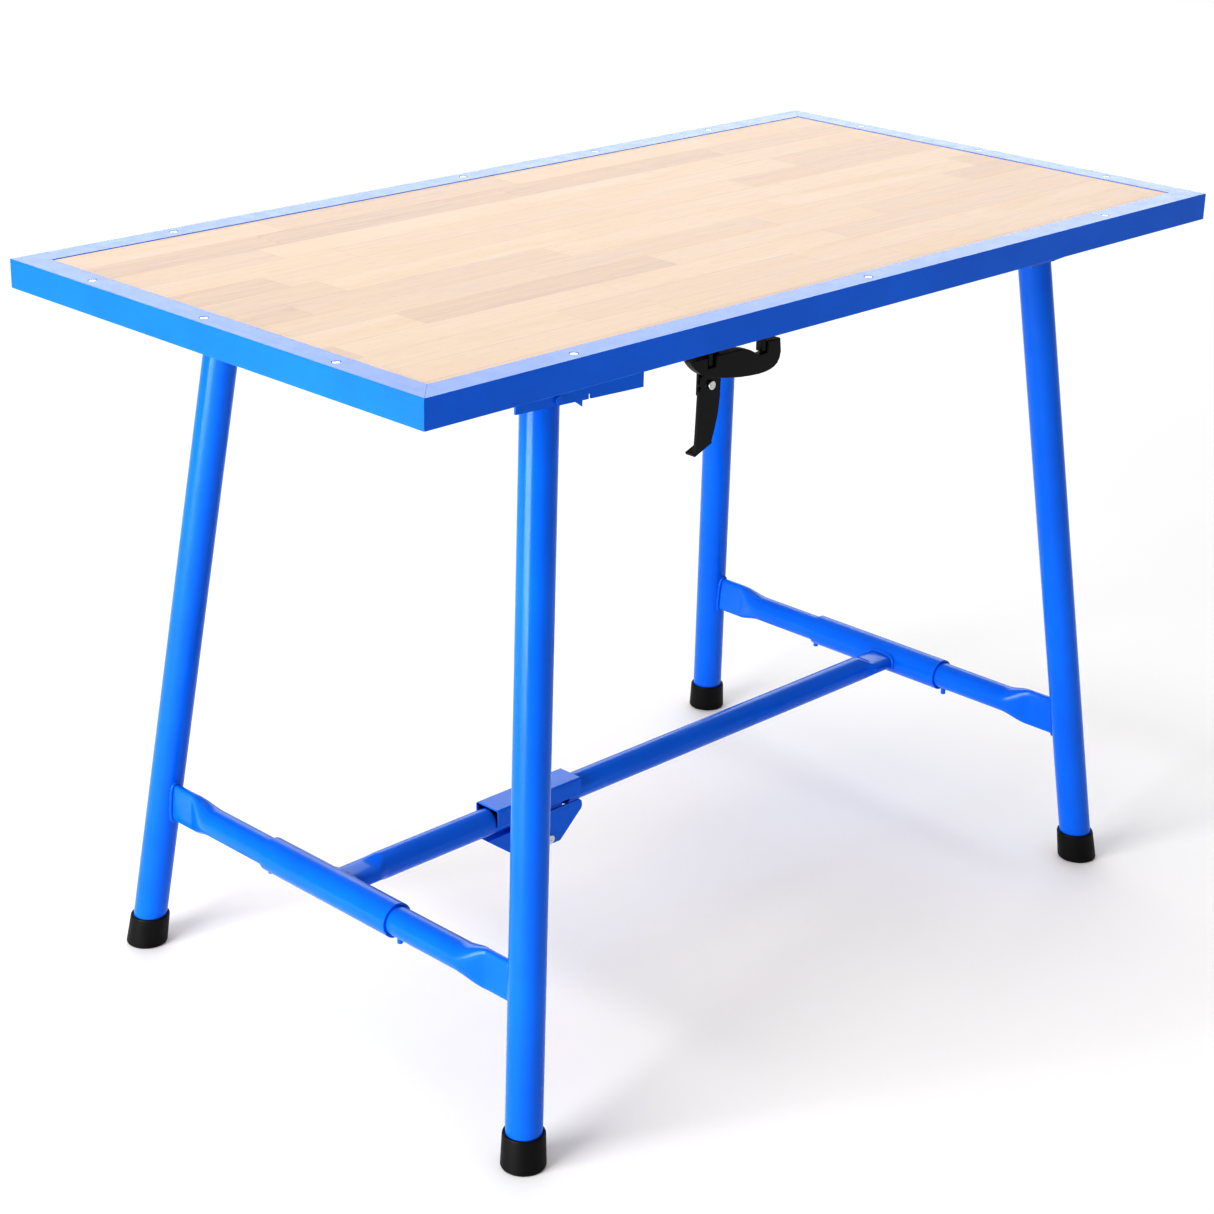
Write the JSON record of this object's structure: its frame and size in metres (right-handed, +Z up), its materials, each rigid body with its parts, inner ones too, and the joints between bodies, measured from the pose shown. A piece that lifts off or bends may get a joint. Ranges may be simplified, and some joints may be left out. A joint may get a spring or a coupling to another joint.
{
  "type": "folding worktable",
  "caption": "Folding worktable: wood top in a blue steel angle rim on splayed tube legs, with crossbars, a jointed stretcher, rubber feet, a drop handle and a transport catch.",
  "frame": {"origin": "on the floor, under the middle of the table", "axes": "+X along the top towards the right-hand frame, +Y to the far long side, +Z up"},
  "size_m": [1.2, 0.6906, 0.815],
  "materials": {
    "beech_board": "satin",
    "blue_paint": "gloss",
    "rubber_cap": "matte",
    "black_plastic": "satin",
    "black_steel": "satin",
    "zinc_fixing": "satin"
  },
  "bodies": {
    "top": {"board": "beech_board", "catch_bracket": "black_steel", "catch_screw": "zinc_fixing", "handle_lug_left": "black_plastic", "handle_lug_right": "black_plastic", "hinge_bolt_left_far": "blue_paint", "hinge_bolt_left_near": "blue_paint", "hinge_bolt_right_far": "blue_paint", "hinge_bolt_right_near": "blue_paint", "hinge_bracket_left_far": "blue_paint", "hinge_bracket_left_near": "blue_paint", "hinge_bracket_right_far": "blue_paint", "hinge_bracket_right_near": "blue_paint", "hinge_nut_left_far": "blue_paint", "hinge_nut_left_near": "blue_paint", "hinge_nut_right_far": "blue_paint", "hinge_nut_right_near": "blue_paint", "rim_far": "blue_paint", "rim_left": "blue_paint", "rim_near": "blue_paint", "rim_right": "blue_paint", "rim_screw_far_1": "zinc_fixing", "rim_screw_far_2": "zinc_fixing", "rim_screw_far_3": "zinc_fixing", "rim_screw_far_4": "zinc_fixing", "rim_screw_left_1": "zinc_fixing", "rim_screw_left_2": "zinc_fixing", "rim_screw_left_3": "zinc_fixing", "rim_screw_near_1": "zinc_fixing", "rim_screw_near_2": "zinc_fixing", "rim_screw_near_3": "zinc_fixing", "rim_screw_right_1": "zinc_fixing", "rim_screw_right_2": "zinc_fixing", "rim_screw_right_3": "zinc_fixing"},
    "left_frame": {"crossbar_left": "blue_paint", "foot_cap_left_far": "rubber_cap", "foot_cap_left_near": "rubber_cap", "leg_left_far": "blue_paint", "leg_left_near": "blue_paint", "stop_pin_left_a": "blue_paint", "stop_pin_left_b": "blue_paint"},
    "right_frame": {"crossbar_right": "blue_paint", "foot_cap_right_far": "rubber_cap", "foot_cap_right_near": "rubber_cap", "leg_right_far": "blue_paint", "leg_right_near": "blue_paint", "stop_pin_right_a": "blue_paint", "stop_pin_right_b": "blue_paint"},
    "short_half": {"sleeve_left": "blue_paint", "stretcher_short": "blue_paint", "knee_cover": "blue_paint"},
    "long_half": {"sleeve_right": "blue_paint", "stretcher_long": "blue_paint", "knee_trough": "blue_paint", "knee_bolt": "zinc_fixing", "knee_nut": "zinc_fixing", "knee_spacer": "zinc_fixing"},
    "handle": {"carry_handle": "black_plastic"},
    "catch": {"catch_lever": "black_steel"}
  },
  "joints": [
    {"name": "left_frame_fold", "type": "hinge", "parent": "top", "child": "left_frame", "pos_m": [-0.39656, -0.01, 0.762], "axis": [0, -1, 0], "range_deg": [0, 95.8]},
    {"name": "right_frame_fold", "type": "hinge", "parent": "top", "child": "right_frame", "pos_m": [0.39656, 0.01, 0.762], "axis": [0, 1, 0], "range_deg": [0, 83.6]},
    {"name": "short_half_turn", "type": "hinge", "parent": "left_frame", "child": "short_half", "pos_m": [-0.46152, -0.01, 0.182], "axis": [0, -1, 0], "range_deg": [0, 86.6]},
    {"name": "long_half_turn", "type": "hinge", "parent": "right_frame", "child": "long_half", "pos_m": [0.46152, 0.01, 0.182], "axis": [0, -1, 0], "range_deg": [0, 265.6]},
    {"name": "carry_handle_swing", "type": "hinge", "parent": "top", "child": "handle", "pos_m": [-0.2, -0.30675, 0.7765], "axis": [-1, 0, 0], "range_deg": [0, 90]},
    {"name": "catch_lever_swing", "type": "hinge", "parent": "top", "child": "catch", "pos_m": [-0.225, -0.29945, 0.749], "axis": [0, 1, 0], "range_deg": [-50, 50]}
  ],
  "couplings": [
    {"joint": "short_half_turn", "follows": "left_frame_fold", "ratio": 0.9039},
    {"joint": "long_half_turn", "follows": "right_frame_fold", "ratio": 3.1769}
  ]
}
